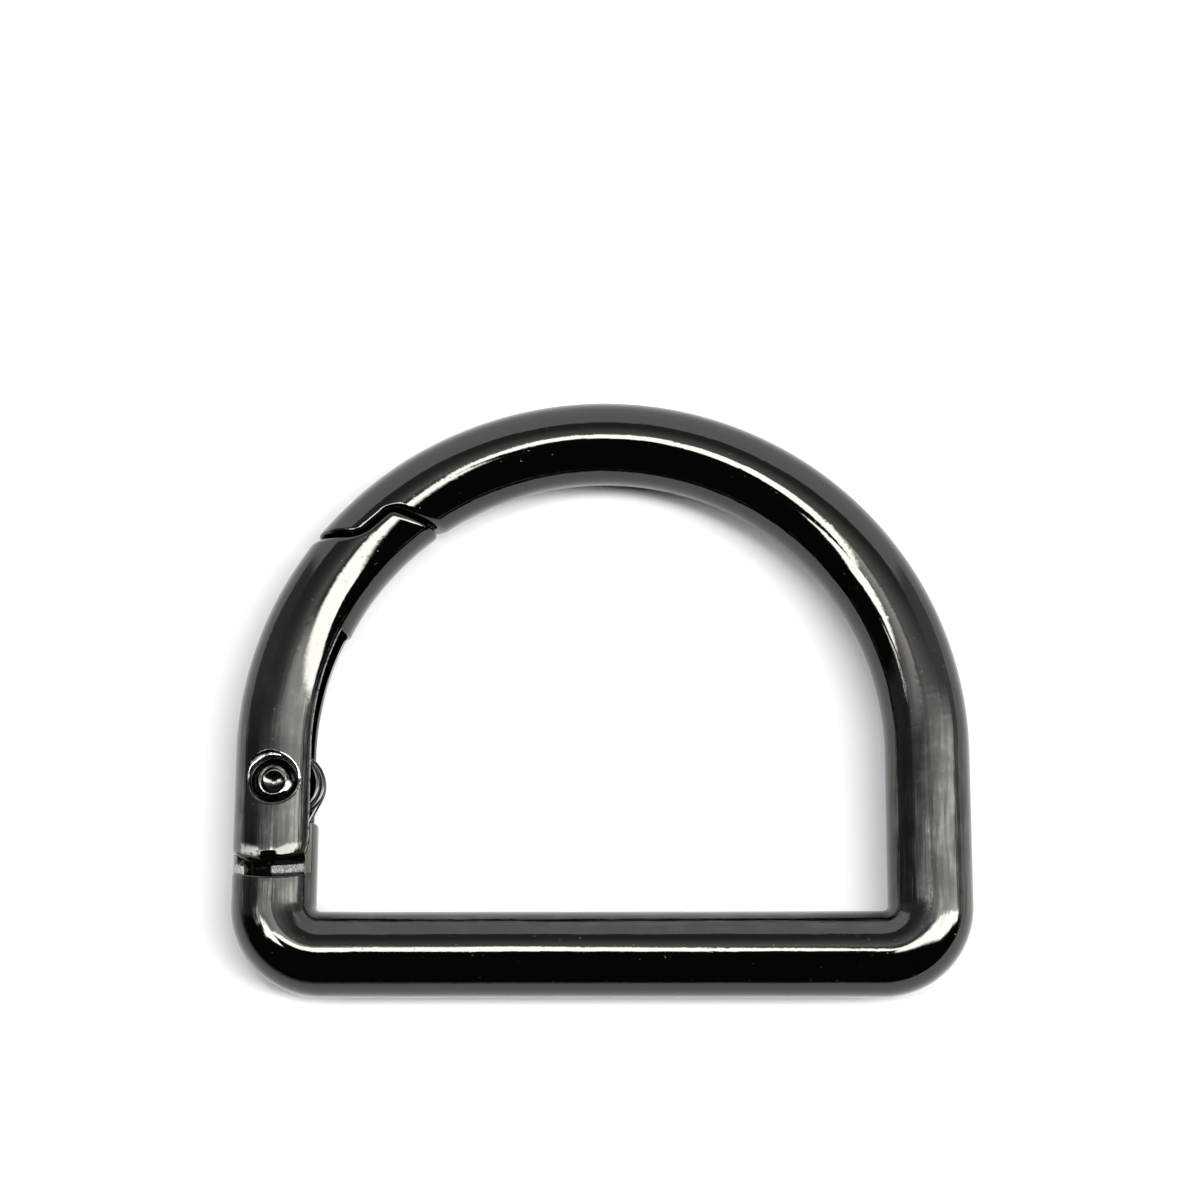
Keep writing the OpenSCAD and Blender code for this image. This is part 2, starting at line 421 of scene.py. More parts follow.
def slope(field, points):
    """How fast the field grows along X, Y and Z at each point."""
    reach = 0.002 * MM
    parts = []
    for axis in range(3):
        shift = reach * np.eye(3)[axis]
        parts.append((field(*(points + shift).T) - field(*(points - shift).T)) / (2 * reach))
    return np.stack(parts, 1)


def settle(field, points, rounds):
    """Move each point straight onto the surface."""
    longest = 0.05 * MM
    least_rise = 0.2
    for _ in range(rounds):
        rise = slope(field, points)
        move = field(*points.T) / np.maximum((rise**2).sum(1), least_rise)
        points = points - np.clip(move, -longest, longest)[:, None] * rise
    return points


def even_out(field, points, faces, rounds):
    """Slide each point along the surface towards the middle of its neighbours."""
    share = 0.5
    starts, ends = faces.ravel(), np.roll(faces, -1, 1).ravel()
    count = np.bincount(starts, minlength=len(points)) + np.bincount(ends, minlength=len(points))
    for _ in range(rounds):
        total = np.zeros_like(points)
        for part in range(3):
            total[:, part] += np.bincount(starts, points[ends, part], len(points))
            total[:, part] += np.bincount(ends, points[starts, part], len(points))
        rise = unit_rows(slope(field, points))
        pull = total / count[:, None] - points
        pull -= (pull * rise).sum(1)[:, None] * rise
        points = settle(field, points + share * pull, rounds=2)
    return points


def metal_surface(k, field, along):
    """Corners, faces and normals of a cast piece, meshed on a grid that follows the bar."""
    edge = BAR_R + 2 * k.fine_step
    across = steps((-edge, edge, k.fine_step))
    lines = (along, across, across)
    grid = np.meshgrid(*lines, indexing="ij")
    x, y = off_bar(k, grid[0], grid[1])
    places, faces = surface_net(field(x, y, grid[2]))
    run, outward, z = (np.interp(places[:, n], np.arange(len(line)), line) for n, line in enumerate(lines))
    points = settle(field, np.stack([*off_bar(k, run, outward), z], 1), rounds=3)
    points = even_out(field, points, faces, rounds=3)
    return points, faces, unit_rows(slope(field, points))


# Blender objects


def new_piece(name, points, faces, material, normals=None):
    """A smooth mesh object, its points given from the arc's centre and the bar's middle height."""
    mesh = bpy.data.meshes.new(name)
    mesh.from_pydata((np.asarray(points) + (0, RING_Y, BAR_R)).tolist(), [], faces)
    mesh.polygons.foreach_set("use_smooth", [True] * len(mesh.polygons))
    if normals is not None:
        mesh.normals_split_custom_set_from_vertices(normals.tolist())
    mesh.materials.append(material)
    piece = bpy.data.objects.new(name, mesh)
    bpy.context.collection.objects.link(piece)
    return piece


def store(piece, name, values):
    """Keep a number or a vector for each corner, for the materials to read."""
    values = np.asarray(values, dtype=float)
    kind, key = ("FLOAT_VECTOR", "vector") if values.ndim == 2 else ("FLOAT", "value")
    piece.data.attributes.new(name, kind, "POINT").data.foreach_set(key, values.ravel())


def stand_for(piece, node, body):
    """Put a piece in the place of a node of the frame."""
    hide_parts(node)
    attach(piece, body)


def cast_piece(k, name, field, along, material, leg_top, turn_at=FAR):
    """A cast piece of the ring with what its plating needs to know at each corner."""
    leg_fade = 8 * MM
    low_fade = 4 * MM
    top_from, top_to = 0.6 * MM, 1.7 * MM
    points, faces, normals = metal_surface(k, field, along)
    piece = new_piece(name, points, faces.tolist(), material, normals)
    x, y, z = points.T
    run = along_bar(k, x, y)
    run = np.where(run > turn_at, run - bar_ends(k)[-1], run)
    outward = beside_bar(k, x, y)
    brushed = smoothstep(-y, -leg_top - leg_fade, -leg_top + leg_fade)
    brushed *= smoothstep(-y, BAR_DROP, BAR_DROP - low_fade)
    brushed *= smoothstep(z, top_from, top_to)
    store(piece, "bar_at", np.stack([run, outward, z], 1) / MM)
    store(piece, "brushed", brushed)
    return piece, points


# Node trees


class Wire:
    """An output socket. An expression written on it adds Math nodes."""

    def __init__(self, board, socket):
        self.board = board
        self.socket = socket

    def output(self, name):
        """Another output of the same node."""
        return Wire(self.board, self.socket.node.outputs[name])

    def maths(self, operation, *values):
        """A Math node on these numbers and outputs."""
        return self.board.add("ShaderNodeMath", {"operation": operation}, dict(enumerate(values)))

    def __add__(self, other):
        return self.maths("ADD", self, other)

    def __radd__(self, other):
        return self.maths("ADD", other, self)

    def __sub__(self, other):
        return self.maths("SUBTRACT", self, other)

    def __rsub__(self, other):
        return self.maths("SUBTRACT", other, self)

    def __mul__(self, other):
        return self.maths("MULTIPLY", self, other)

    def __rmul__(self, other):
        return self.maths("MULTIPLY", other, self)

    def __abs__(self):
        return self.maths("ABSOLUTE", self)

    def at_least(self, other):
        """The larger of the two."""
        return self.maths("MAXIMUM", self, other)

    def over(self, edge, soft):
        """0 below the edge and 1 above it, smooth across twice soft."""
        values = {"Value": self, "From Min": edge - soft, "From Max": edge + soft}
        return self.board.add("ShaderNodeMapRange", {"interpolation_type": "SMOOTHSTEP"}, values)

    def under(self, edge, soft):
        """1 below the edge and 0 above it."""
        return 1 - self.over(edge, soft)

    def within(self, low, high):
        """1 between two edges, each given with its softness."""
        return self.over(*low) * self.under(*high)


class Board:
    """The node tree of a material or of the world, emptied."""

    def __init__(self, owner):
        owner.use_nodes = True
        self.tree = owner.node_tree
        self.tree.nodes.clear()

    def add(self, kind, settings=None, values=None):
        """Add a node, set it, fill or link its sockets, and give its first output."""
        node = self.tree.nodes.new(kind)
        for name, value in (settings or {}).items():
            setattr(node, name, value)
        for name, value in (values or {}).items():
            if isinstance(value, Wire):
                self.tree.links.new(value.socket, node.inputs[name])
            else:
                node.inputs[name].default_value = value
        return Wire(self, node.outputs[0]) if node.outputs else None

    def stored(self, name, output="Fac"):
        """What the piece keeps under this name at each corner."""
        return self.add("ShaderNodeAttribute", {"attribute_name": name}).output(output)

    def parts(self, vector):
        """The three numbers of a vector."""
        split = self.add("ShaderNodeSeparateXYZ", None, {"Vector": vector})
        return [split.output(name) for name in "XYZ"]

    def noise(self, place, scale, detail=2.0):
        """Smooth noise about one half, finer with a greater scale."""
        return self.add("ShaderNodeTexNoise", None, {"Vector": place, "Scale": scale, "Detail": detail})

    def blend(self, factor, first, second):
        """The first colour where the factor is 0, the second where it is 1."""
        first_colour, second_colour, result = 6, 7, 2
        values = {"Factor": factor, first_colour: first, second_colour: second}
        return self.add("ShaderNodeMix", {"data_type": "RGBA"}, values).output(result)

    def scaled(self, place, factors):
        """A place with each of its three parts times a number."""
        return self.add("ShaderNodeVectorMath", {"operation": "MULTIPLY"}, {0: place, 1: factors})

    def bump(self, distance, height):
        """A normal that follows the height, times a distance in metres."""
        return self.add("ShaderNodeBump", None, {"Strength": 1.0, "Distance": distance, "Height": height})

    def shade(self, values):
        """End the material in one surface shader with these values and links."""
        surface = self.add("ShaderNodeBsdfPrincipled", None, values)
        self.add("ShaderNodeOutputMaterial", None, {"Surface": surface})


def toned(parts, factor=1.0):
    """An opaque colour, each of its parts times the factor."""
    return (*(factor * part for part in parts), 1.0)


def plate_material(finish, name):
    """Mirror-polished gunmetal plate over a cast ring, brushed lengthwise on its legs, with a few pits."""
    material = bpy.data.materials.new(name)
    board = Board(material)
    bar_at = board.stored("bar_at", "Vector")
    brushed, bare, edge = (board.stored(kept) for kept in ("brushed", "bare", "edge"))
    noise_middle = 0.5
    lengthwise = board.scaled(bar_at, (0.05, 1.0, 1.0))
    fine = board.noise(lengthwise, scale=5.5, detail=3.0) - noise_middle
    broad = board.noise(lengthwise, scale=1.6, detail=1.0) - noise_middle
    peel = board.noise(bar_at, scale=2.2)
    waves = board.noise(board.scaled(bar_at, (0.4, 1.0, 1.0)), scale=0.35, detail=1.0)
    patch = board.noise(bar_at, scale=0.5)
    pits = board.noise(bar_at, scale=4.5, detail=1.0).over(0.78, 0.03)
    grain = board.noise(bar_at, scale=9.0, detail=4.0)
    hair = board.noise(board.scaled(bar_at, (0.08, 1.0, 1.0)), scale=4.2, detail=4.0).over(0.5, 0.14)
    edge_mark_noise = board.noise(bar_at, scale=3.0, detail=3.0)

    # Heights of the bump, in thousandths of a millimetre
    fine_height = 1.5 + 16.0 * brushed
    broad_height = 1.0 + 30.0 * brushed
    peel_height = 2.0 + 4.0 * patch.over(0.58, 0.06)
    wave_height, pit_depth, grain_height = 25.0, 6.0, 60.0
    height = fine * fine_height + broad * broad_height + peel_height * peel
    height = height + wave_height * waves - pit_depth * pits + bare * grain * grain_height

    polished, patch_rough, brushed_rough, bare_rough = 0.02, 0.05, 0.08, 0.5
    roughness = polished + patch_rough * patch + brushed_rough * brushed + bare_rough * bare
    hair_share, broad_share, least_patch, even_wear = 0.65, 0.35, 0.15, 0.3
    wear = hair_share * hair + broad_share * broad.over(0.0, 0.1)
    wear = wear * (least_patch + (1 - least_patch) * patch.over(0.48, 0.12))
    worn = even_wear + brushed * (wear - even_wear)
    plate_dark, plate_light, bare_dark, bare_light = 0.72, 1.75, 0.35, 2.2
    plating = board.blend(worn, toned(finish.plate, plate_dark), toned(finish.plate, plate_light))
    rough_tone = grain.over(0.52, 0.1)
    metal = board.blend(rough_tone, toned(finish.bare, bare_dark), toned(finish.bare, bare_light))
    # Light marks on edges: worn chips and bare ledges, and painted highlights and glints on the gate's seat
    # rim, channel and lip.
    light_edge_marks = edge * edge_mark_noise.over(0.5 - 0.1 * edge, 0.05)
    base = board.blend(light_edge_marks, board.blend(bare, plating, metal), toned(finish.edge))
    normal = board.bump(MICRON, height)
    board.shade({"Base Color": base, "Metallic": 1 - bare, "Roughness": roughness, "Normal": normal})
    return material


def wire_material(finish):
    """Drawn spring wire with fine die lines."""
    material = bpy.data.materials.new("spring steel")
    board = Board(material)
    place = board.add("ShaderNodeTexCoord").output("Object")
    lines_per_metre = (3000.0, 3000.0, 9000.0)
    least_rough, line_rough = 0.1, 0.12
    lines = board.noise(board.scaled(place, lines_per_metre), scale=1.0)
    roughness = least_rough + line_rough * lines
    normal = board.bump(2 * MICRON, lines)
    board.shade({"Base Color": toned(finish.wire), "Metallic": 1.0, "Roughness": roughness, "Normal": normal})
    return material


def pin_material(finish):
    """The same plate over the rivet, finely scuffed, with a painted highlight in a light ring on each head's
    crown, and painted shade on the -Y side of each hollow.
    """
    material = bpy.data.materials.new("pin metal")
    board = Board(material)
    place = board.add("ShaderNodeTexCoord").output("Object")
    least_rough, scuff_rough, shade_tone = 0.06, 0.12, 0.3
    scuffs = board.noise(place, scale=4000.0, detail=3.0)
    # Painted highlight: a light ring on each head's crown, broken by noise.
    light_edge_marks = board.stored("edge") * board.noise(place, scale=1500.0).over(0.42, 0.08)
    base = board.blend(light_edge_marks, toned(finish.plate), toned(finish.edge))
    # Painted shade: the -Y side of each hollow is darkened towards a dim copy of the plate.
    base = board.blend(board.stored("painted_shade"), base, toned(finish.plate, shade_tone))
    roughness = least_rough + scuff_rough * scuffs
    normal = board.bump(5 * MICRON, scuffs)
    board.shade({"Base Color": base, "Metallic": 1.0, "Roughness": roughness, "Normal": normal})
    return material


# The pieces


def arc_length(degrees):
    """Length along the bar of a direction on the arc."""
    return ARC_R * (math.pi - math.radians(degrees))


def seam_zone(k):
    """The two lengths along the bar between which the seam lies."""
    nose_side, hook_side = 14, -8
    return arc_length(k.seam_direction + nose_side), arc_length(k.seam_direction + hook_side)


def build_frame(k, finish):
    """The ring's body: hook, arc, right leg, straight bar and the stub with its tongue."""
    arc_step, straight_step, corner_step, leg_step = 0.7 * MM, 1.2 * MM, 0.2 * MM, 0.4 * MM
    stub_margin = 0.8 * MM
    tongue_margin = 0.6 * MM
    seam_from, seam_to = seam_zone(k)
    arc_end, leg_end, corner_end, bar_end, left_leg, end = bar_ends(k)
    stub_from = end - (-PIN_Y + k.shoulder_r + stub_margin)
    along = steps(
        (seam_from, seam_to, k.fine_step),
        (seam_to, arc_end, arc_step),
        (arc_end, leg_end, straight_step),
        (leg_end, corner_end, corner_step),
        (corner_end, bar_end, straight_step),
        (bar_end, left_leg, corner_step),
        (left_leg, stub_from, leg_step),
        (stub_from, end - tongue_margin, k.fine_step),
    )
    material = plate_material(finish, "gunmetal")
    piece, points = cast_piece(
        k, "ring_frame", lambda *place: frame_metal(k, *place), along, material, leg_top=1 * MM
    )
    rough_from, rough_side = 5.55 * MM, -2.0 * MM
    left_reach, right_reach = 0.02 * MM, 0.012 * MM
    x, y, z = points.T
    east, north = x - PIN_X, y - PIN_Y
    right, left = ledges(k, beside_bar(k, x, y), east, north, z)
    left = np.where((z > 0) & (east < rough_side) & (north < -rough_from), left, FAR)
    inside = np.hypot(east, north) < k.shoulder_r - left_reach
    left_skin = (np.abs(left) < left_reach) & inside
    store(piece, "bare", ((np.abs(right) < right_reach) & inside) | left_skin)
    store(piece, "edge", left_skin)
    stand_for(piece, "frame", "ring_body")


def build_gate(k, finish):
    """The gate: nose, arc, two cheeks over the channel, and the rounded tail."""
    plain_step = 0.3 * MM
    slot_zone = 0.8 * MM
    tail_end = PIN_Y - k.tail_r - 3 * k.fine_step
    hinge_end = PIN_Y + k.seat_r + 2 * MM
    slot_end = arc_length(k.slot_end)
    seam_from, seam_to = seam_zone(k)
    along = steps(
        (tail_end, hinge_end, k.fine_step),
        (hinge_end, slot_end - slot_zone, plain_step),
        (slot_end - slot_zone, slot_end + slot_zone, k.fine_step),
        (slot_end + slot_zone, seam_from, plain_step),
        (seam_from, seam_to, k.fine_step),
    )
    material = plate_material(finish, "gate gunmetal")
    piece, points = cast_piece(
        k,
        "ring_gate",
        lambda *place: gate_metal(k, *place),
        along,
        material,
        leg_top=3 * MM,
        turn_at=ARC_R * 3,
    )
    store_gate_wear_and_highlights(k, piece, points)
    stand_for(piece, "gate", "gate_body")


def store_gate_wear_and_highlights(k, piece, points):
    """Light marks on the gate: worn chips on its seat's rim, stronger towards +X and +Y as a painted
    highlight; painted glints along its channel's edges; and the left half of its lip worn bare, its light
    tone partly a painted highlight.
    """
    chip = 0.1 * MM
    seat_out, seat_top = 0.11 * MM, 2 * MM
    seat_slant, seat_from, seat_to = 1.6, -1.2 * MM, 0.4 * MM
    channel_side, channel_glint_share = -2.1 * MM, 0.6
    lip_from, lip_to, lip_bare = -0.8 * MM, -0.35 * MM, 0.8
    lip_east, lip_half, lip_fade = -1.45 * MM, 0.75 * MM, 0.2 * MM
    x, y, z = points.T
    east, north = x - PIN_X, y - PIN_Y
    from_pin = np.hypot(east, north)
    # Worn chips on the seat's rim, partly painted highlight: stronger towards +X and +Y.
    seat_wear_and_highlight = (np.abs(from_pin - k.seat_r - seat_out) < chip) * (z > seat_top)
    seat_wear_and_highlight = seat_wear_and_highlight * smoothstep(east + seat_slant * north, seat_from, seat_to)
    # Painted glints dotted along the channel's edges.
    channel_glint = (np.abs(z - k.slot_w / 2 - chip) < chip) & (beside_bar(k, x, y) < channel_side)
    channel_glint &= beside_line(x, y, (0, 0), polar(1, k.slot_end)) > 0
    # The left half of the lip, worn bare and lightened, partly as a painted highlight.
    lip = smoothstep(from_pin, k.tail_r + lip_from, k.tail_r + lip_to) * (north < 0) * (z > MM)
    lip *= smoothstep(np.abs(east - lip_east), lip_half, lip_half - lip_fade)
    store(piece, "bare", lip_bare * lip)
    store(piece, "edge", np.maximum(np.maximum(seat_wear_and_highlight, channel_glint_share * channel_glint), lip))


def build_hinge_pin(k, finish):
    """The rivet: a shank between two heads, each punched hollow, leaning and nicked at its rim."""
    turns = 96
    crown = 0.04 * MM
    crown_fall = 0.016 * MM
    bowl = 0.18 * MM
    bowl_shift = 0.28 * MM
    bowl_rings = (0.95, 0.8, 0.65, 0.5, 0.35, 0.2, 0.08)
    floor = k.rim_height - k.hollow_depth

    # Each ring of the upper head: its radius, its height, and its shares of the nick and of the lean
    head = (
        (k.shank_r, 0.0, 0.0, 0.0),
        (k.shank_r, k.foot_height - 0.01 * MM, 0.0, 0.0),
        (k.foot_r - 0.04 * MM, k.foot_height, 0.2, 0.1),
        (k.foot_r, k.foot_height + 0.05 * MM, 0.6, 0.15),
        (k.foot_r - 0.03 * MM, k.foot_height + 0.16 * MM, 1.0, 0.2),
        (k.rim_r + 0.17 * MM, k.rim_height - 0.2 * MM, 1.0, 0.5),
        (k.rim_r + 0.07 * MM, k.rim_height - 0.06 * MM, 0.8, 0.95),
        (k.rim_r + 0.03 * MM, k.rim_height - crown_fall - 0.01 * MM, 0.3, 1.0),
        (k.rim_r + 0.02 * MM, k.rim_height - crown_fall, 0.0, 1.0),
        (k.rim_r, k.rim_height - 0.85 * crown_fall, 0.0, 1.0),
        (k.hollow_r + 0.05 * MM, k.rim_height - 0.15 * crown_fall, 0.0, 1.25),
        (k.hollow_r + 0.03 * MM, k.rim_height, 0.0, 1.25),
        (k.hollow_r + 0.02 * MM, k.rim_height - 0.01 * MM, 0.0, 1.25),
        (k.hollow_r, k.rim_height - crown, 0.0, 1.2),
        (k.hollow_r - 0.01 * MM, floor + 0.03 * MM, 0.0, 0.3),
        *((share * k.hollow_r, floor - bowl * (1 - share**2), 0.0, 0.0) for share in bowl_rings),
    )
    upper = np.array(head)
    lower = upper[:0:-1] * (1, -1, 0, 1)
    profile = np.concatenate([lower, upper])
    plain_radius, plain_height, nick_share, lean_share = (profile[:, part, None] for part in range(4))

    nick_direction, nick_half, nick_fade = -27.0, 30.0, 10.0
    bulge, bulge_drop = 0.27 * MM, 0.25
    lean = 0.2 * MM
    angle = np.linspace(0, 2 * math.pi, turns, endpoint=False)
    off = (np.degrees(angle) - nick_direction + 180) % 360 - 180
    bulged = bulge * nick_share * smoothstep(nick_half - np.abs(off), 0, nick_fade)
    radius = plain_radius + bulged + lean * lean_share * np.maximum(-np.sin(angle), 0)
    height = plain_height - bulge_drop * bulged
    inside = (np.abs(height) < floor) & (radius < k.hollow_r) & (np.abs(height) > floor - 2 * bowl)
    tilt = 2 * bowl * bowl_shift / k.hollow_r**2
    height = height + np.where(inside, tilt * radius * np.sin(angle), 0)
    rings = np.stack([PIN_X + radius * np.cos(angle), PIN_Y + radius * np.sin(angle), height], 2)
    middles = [(PIN_X, PIN_Y, -floor + bowl), (PIN_X, PIN_Y, floor - bowl)]
    points = np.concatenate([rings.reshape(-1, 3), middles])

    corner = np.arange(rings.shape[0] * turns).reshape(-1, turns)
    ahead = np.roll(corner, -1, 1)
    sides = np.stack([corner[:-1], ahead[:-1], ahead[1:], corner[1:]], 2).reshape(-1, 4).tolist()
    foot = [[corner.size, *pair] for pair in zip(ahead[0].tolist(), corner[0].tolist())]
    tip = [[corner.size + 1, *pair] for pair in zip(corner[-1].tolist(), ahead[-1].tolist())]
    piece = new_piece("hinge_rivet", points, sides + foot + tip, pin_material(finish))

    # Painted highlight: the corners near each head's crown carry a light ring, stored as its edge.
    crown_r, crown_half, crown_depth = 0.85 * MM, 0.065 * MM, 0.03 * MM
    shade_slant, shade_from, shade_fade = 0.35, 0.28 * MM, 0.1 * MM
    rim = np.abs(profile[:, 0] - crown_r) < crown_half
    rim &= np.abs(profile[:, 1]) > k.rim_height - crown_depth
    east, north = points[:, 0] - PIN_X, points[:, 1] - PIN_Y
    # Painted shade over the -Y side of each hollow's bowl, for the material to darken.
    painted_shade = smoothstep(shade_slant * np.abs(east) - shade_from - north, 0, shade_fade)
    store(piece, "edge", np.append(np.repeat(rim, turns), [False, False]))
    store(piece, "painted_shade", painted_shade * np.append(inside.ravel(), [True, True]))
    stand_for(piece, "hinge_pin", "gate_body")


def build_spring(k, finish):
    """The torsion spring: a straight leg in the gate, two loose turns, and a leg in the tongue's pocket."""
    start, stop = math.radians(35), math.radians(-27 - 2 * 360)
    turn_steps, leg_steps, sides = 110, 12, 20
    lean_from, lean_to = 0.3, 0.9
    angle = np.linspace(start, stop, turn_steps)
    turns = (start - angle) / (2 * math.pi)
    slack = k.coil_slack + k.coil_lean * smoothstep(turns, lean_from, lean_to)
    coil_x = PIN_X + slack + k.coil_r * np.cos(angle)
    coil_y = PIN_Y + k.coil_r * np.sin(angle)
    coil = np.stack([coil_x, coil_y, k.coil_height - k.coil_pitch * turns], 1)

    def heading(at):
        return np.array([math.sin(at), -math.cos(at), 0.0])

    gate_leg = [coil[0] - heading(start) * k.gate_leg * (1 - n / leg_steps) for n in range(leg_steps)]
    tongue_leg = [coil[-1] + heading(stop) * k.tongue_leg * (n + 1) / leg_steps for n in range(leg_steps)]
    line = np.concatenate([gate_leg, coil, tongue_leg])
    along = unit_rows(np.gradient(line, axis=0))
    sideways = unit_rows(np.cross(along, (0, 0, 1)))
    upward = np.cross(sideways, along)
    around = np.linspace(0, 2 * math.pi, sides, endpoint=False)[None, :, None]
    ring = k.wire_r * (np.cos(around) * sideways[:, None] + np.sin(around) * upward[:, None])
    points = (line[:, None] + ring).reshape(-1, 3)
    corner = np.arange(len(line) * sides).reshape(len(line), sides)
    ahead = np.roll(corner, -1, 1)
    quads = np.stack([corner[:-1], corner[1:], ahead[1:], ahead[:-1]], 2).reshape(-1, 4).tolist()
    caps = [corner[0].tolist(), corner[-1][::-1].tolist()]
    piece = new_piece("torsion_spring", points, quads + caps, wire_material(finish))
    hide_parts("spring")
    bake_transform(piece)


# The surface, the light and the camera


def lamp_fields(x, y, z):
    """The ceiling lamps by the parts of a direction, each edge with its softness."""
    peak_x, peak_y, left_fall = -0.05, 0.185, 0.6
    past = (x - peak_x).at_least(0.0)
    before = past - (x - peak_x)
    gable = (y + left_fall * before + past).under(peak_y, 0.012)
    middle = x.within((-0.38, 0.01), (0.13, 0.02)) * y.over(-0.026, 0.008) * gable
    slants = (y + 0.34 * x).over(-0.085, 0.045) * (y - x).over(-1.07, 0.02)
    right = x.over(0.11, 0.015) * y.within((-0.33, 0.02), (0.045, 0.04)) * slants * z.over(0.2, 0.03)
    left = x.within((-0.63, 0.012), (-0.375, 0.01)) * y.within((-0.19, 0.012), (0.03, 0.025))
    slit = x.within((-0.72, 0.01), (-0.685, 0.01)) * y.within((-0.06, 0.02), (0.11, 0.02))
    far_slit = x.over(0.5, 0.1) * y.within((-0.02, 0.04), (0.15, 0.02)) * z.within((0.31, 0.02), (0.37, 0.02))
    slit_share, far_slit_share = 0.6, 0.5
    lamps = middle.at_least(right).at_least(left)
    return lamps.at_least(slit_share * slit).at_least(far_slit_share * far_slit)


def room_glow(x, y, z):
    """The ceiling, the wall behind and the sides, with the light that washes over the wall's foot."""
    ceiling_least, ceiling_plain, ceiling_bright, ceiling_left = 0.03, 0.25, 1.1, 0.2
    tint = ceiling_left + (1 - ceiling_left) * x.over(-0.1, 0.25)
    ceiling = ceiling_plain + ceiling_bright * y.under(0.38, 0.2) * tint
    ceiling = ceiling_least + y.over(0.12, 0.1) * ceiling
    wall_glow, wall_spread = 1.7, 1.05
    wall = (y - wall_spread * z).over(0.0, 0.03) * (wall_spread * y - abs(x)).over(0.0, 0.05)
    sides = y.over(0.0, 0.05) * (abs(x) - z).over(0.0, 0.1) * (1 - wall)
    side_glow, right_more, left_less = 0.45, 0.3, 0.22
    shade = side_glow + right_more * x.over(0.0, 0.1) - left_less * x.under(0.0, 0.1) * y.under(0.3, 0.1)
    room = ceiling * (1 - wall) * (1 - sides) + wall_glow * wall + sides * shade
    wash_glow, wash_right = 2.7, 2.0
    dim_glow, dim_right, dim_least = 4.5, 6.0, 1.2
    low = (y - 0.12 * x).under(0.22, 0.12)
    wash = (x + 1.8 * y).over(0.45, 0.07) * y.over(0.0, 0.03) * low * low * z.over(0.28, 0.06)
    dim_wash = x.within((-0.65, 0.05), (-0.04, 0.06)) * y.within((0.0, 0.03), (0.2, 0.03))
    room = room + (wash_glow + wash_right * x) * wash
    return room + (dim_glow + dim_right * x).at_least(dim_least) * dim_wash


def light_room(finish):
    """A dim room with ceiling lamps and a bright wall behind, where the camera sees a pale backdrop."""
    world = bpy.data.worlds.new("room")
    bpy.context.scene.world = world
    board = Board(world)
    x, y, z = board.parts(board.add("ShaderNodeTexCoord").output("Generated"))
    glow = room_glow(x, y, z).at_least(finish.lamp * lamp_fields(x, y, z))
    floor_glow, backdrop_glow = 1.7, 1.1
    below = z.under(0.0, 0.002)
    glow = glow * (1 - below) + floor_glow * below
    seen = board.add("ShaderNodeLightPath").output("Is Camera Ray")
    strength = glow * (1 - seen) + backdrop_glow * seen
    background = board.add("ShaderNodeBackground", None, {"Color": (1, 1, 1, 1), "Strength": strength})
    board.add("ShaderNodeOutputWorld", None, {"Surface": background})
    world.cycles.sampling_method = "MANUAL"
    world.cycles.sample_map_resolution = 2048


def lay_floor(finish):
    """A wide pale plane just under the ring, with painted shade darkening it far off to its lower left, for
    the lamps' light falling off there.
    """
    half = 1.0
    below = 0.02 * MM
    matt = 0.8
    corner_way, dark_from, dark_fade, dark_tone = -0.7071, 0.075, 0.04, 0.2
    mesh = bpy.data.meshes.new("floor")
    corners = [(sx * half, sy * half, -below) for sx, sy in ((-1, -1), (1, -1), (1, 1), (-1, 1))]
    mesh.from_pydata(corners, [], [(0, 1, 2, 3)])
    material = bpy.data.materials.new("pale floor")
    board = Board(material)
    x, y, _ = board.parts(board.add("ShaderNodeTexCoord").output("Object"))
    # Painted shade: the floor's colour darkens far off towards -X and -Y.
    away = ((x + y) * corner_way).over(dark_from, dark_fade)
    tone = board.blend(away, toned(finish.floor), toned(finish.floor, dark_tone))
    board.shade({"Base Color": tone, "Roughness": matt})
    mesh.materials.append(material)
    floor = bpy.data.objects.new("floor", mesh)
    bpy.context.collection.objects.link(floor)


def place_camera():
    """The photograph's view: nearly overhead, leaning back from the straight bar."""
    spot = Vector((6.09, -55.27, 224.37)) * MM
    aim = Vector((-0.18, 6.61, 2.85)) * MM
    roll = math.radians(0.24)
    camera = bpy.data.cameras.new("camera")
    camera.sensor_width = 36
    camera.lens = 101.18
    camera.clip_start = 0.01
    forward = (aim - spot).normalized()
    right = forward.cross(Vector((0, 1, 0))).normalized()
    up = right.cross(forward)
    right, up = (
        math.cos(roll) * right + math.sin(roll) * up,
        math.cos(roll) * up - math.sin(roll) * right,
    )
    seat = bpy.data.objects.new("camera", camera)
    seat.matrix_world = Matrix.Translation(spot) @ Matrix((right, up, -forward)).transposed().to_4x4()
    bpy.context.collection.objects.link(seat)
    bpy.context.scene.camera = seat


class DRING_OT_frame(bpy.types.Operator):
    """Build the ring's body"""

    bl_idname = "d_ring.frame"
    bl_label = "Ring body"

    def execute(self, context):
        build_frame(context.scene.ring_shape, context.scene.ring_finish)
        return {"FINISHED"}


class DRING_OT_gate(bpy.types.Operator):
    """Build the gate that springs open inward"""

    bl_idname = "d_ring.gate"
    bl_label = "Gate"

    def execute(self, context):
        build_gate(context.scene.ring_shape, context.scene.ring_finish)
        return {"FINISHED"}


class DRING_OT_hinge_pin(bpy.types.Operator):
    """Build the punched rivet that the gate turns on"""

    bl_idname = "d_ring.hinge_pin"
    bl_label = "Hinge pin"

    def execute(self, context):
        build_hinge_pin(context.scene.rivet_shape, context.scene.ring_finish)
        return {"FINISHED"}


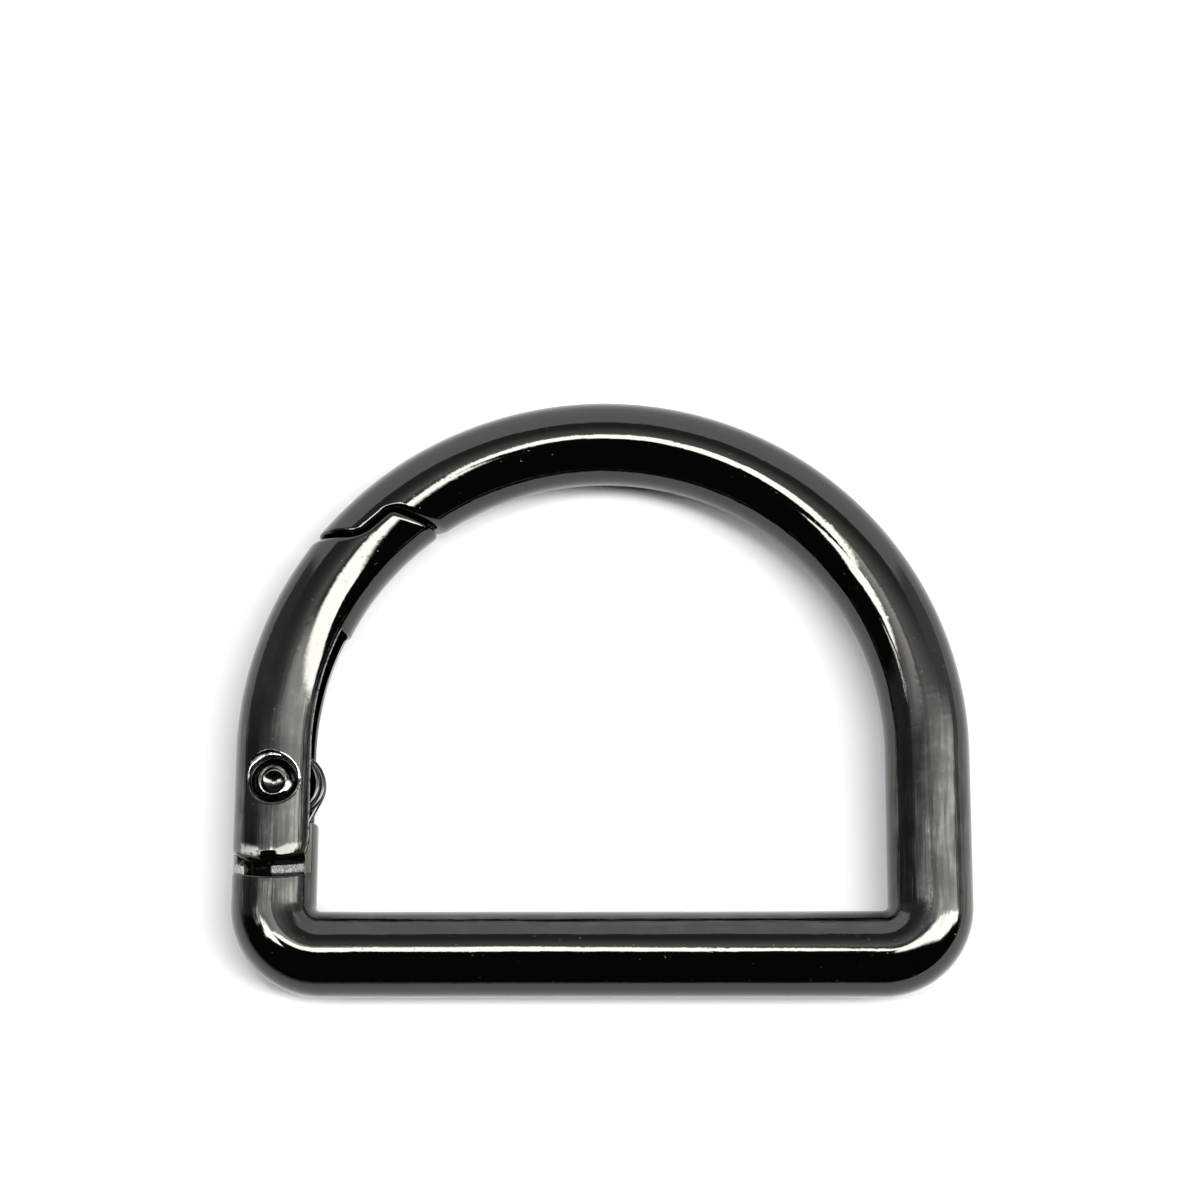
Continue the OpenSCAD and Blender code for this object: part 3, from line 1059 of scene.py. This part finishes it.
class DRING_OT_spring(bpy.types.Operator):
    """Build the torsion spring round the hinge pin"""

    bl_idname = "d_ring.spring"
    bl_label = "Spring"

    def execute(self, context):
        build_spring(context.scene.spring_shape, context.scene.ring_finish)
        return {"FINISHED"}


class DRING_OT_stage(bpy.types.Operator):
    """Lay the pale surface, light the room and place the camera"""

    bl_idname = "d_ring.stage"
    bl_label = "Stage"

    def execute(self, context):
        finish = context.scene.ring_finish
        lay_floor(finish)
        light_room(finish)
        place_camera()
        context.scene.view_settings.view_transform = "Standard"
        context.scene.view_settings.look = "None"
        return {"FINISHED"}


class DRING_PT_panel(bpy.types.Panel):
    """The ring's sizes and colours, and a button for each piece"""

    bl_idname = "DRING_PT_panel"
    bl_label = "D-Ring"
    bl_space_type = "VIEW_3D"
    bl_region_type = "UI"
    bl_category = "D-Ring"

    def draw(self, context):
        for name in SETTINGS:
            column = self.layout.column(align=True)
            group = getattr(context.scene, name)
            for key in group.__annotations__:
                column.prop(group, key)
        for operator in OPERATORS:
            self.layout.operator(operator.bl_idname)


OPERATORS = (DRING_OT_frame, DRING_OT_gate, DRING_OT_hinge_pin, DRING_OT_spring, DRING_OT_stage)
SETTINGS = {
    "ring_shape": RingShape,
    "rivet_shape": RivetShape,
    "spring_shape": SpringShape,
    "ring_finish": RingFinish,
}


def register():
    for name, group in SETTINGS.items():
        bpy.utils.register_class(group)
        setattr(bpy.types.Scene, name, bpy.props.PointerProperty(type=group))
    for listed in (*OPERATORS, DRING_PT_panel):
        bpy.utils.register_class(listed)


def unregister():
    for listed in (DRING_PT_panel, *reversed(OPERATORS)):
        bpy.utils.unregister_class(listed)
    for name, group in reversed(SETTINGS.items()):
        delattr(bpy.types.Scene, name)
        bpy.utils.unregister_class(group)


def main():
    register()
    bpy.ops.d_ring.frame()
    bpy.ops.d_ring.gate()
    bpy.ops.d_ring.hinge_pin()
    bpy.ops.d_ring.spring()
    bpy.ops.d_ring.stage()
    bpy.context.view_layer.update()


if __name__ == "__main__":
    main()
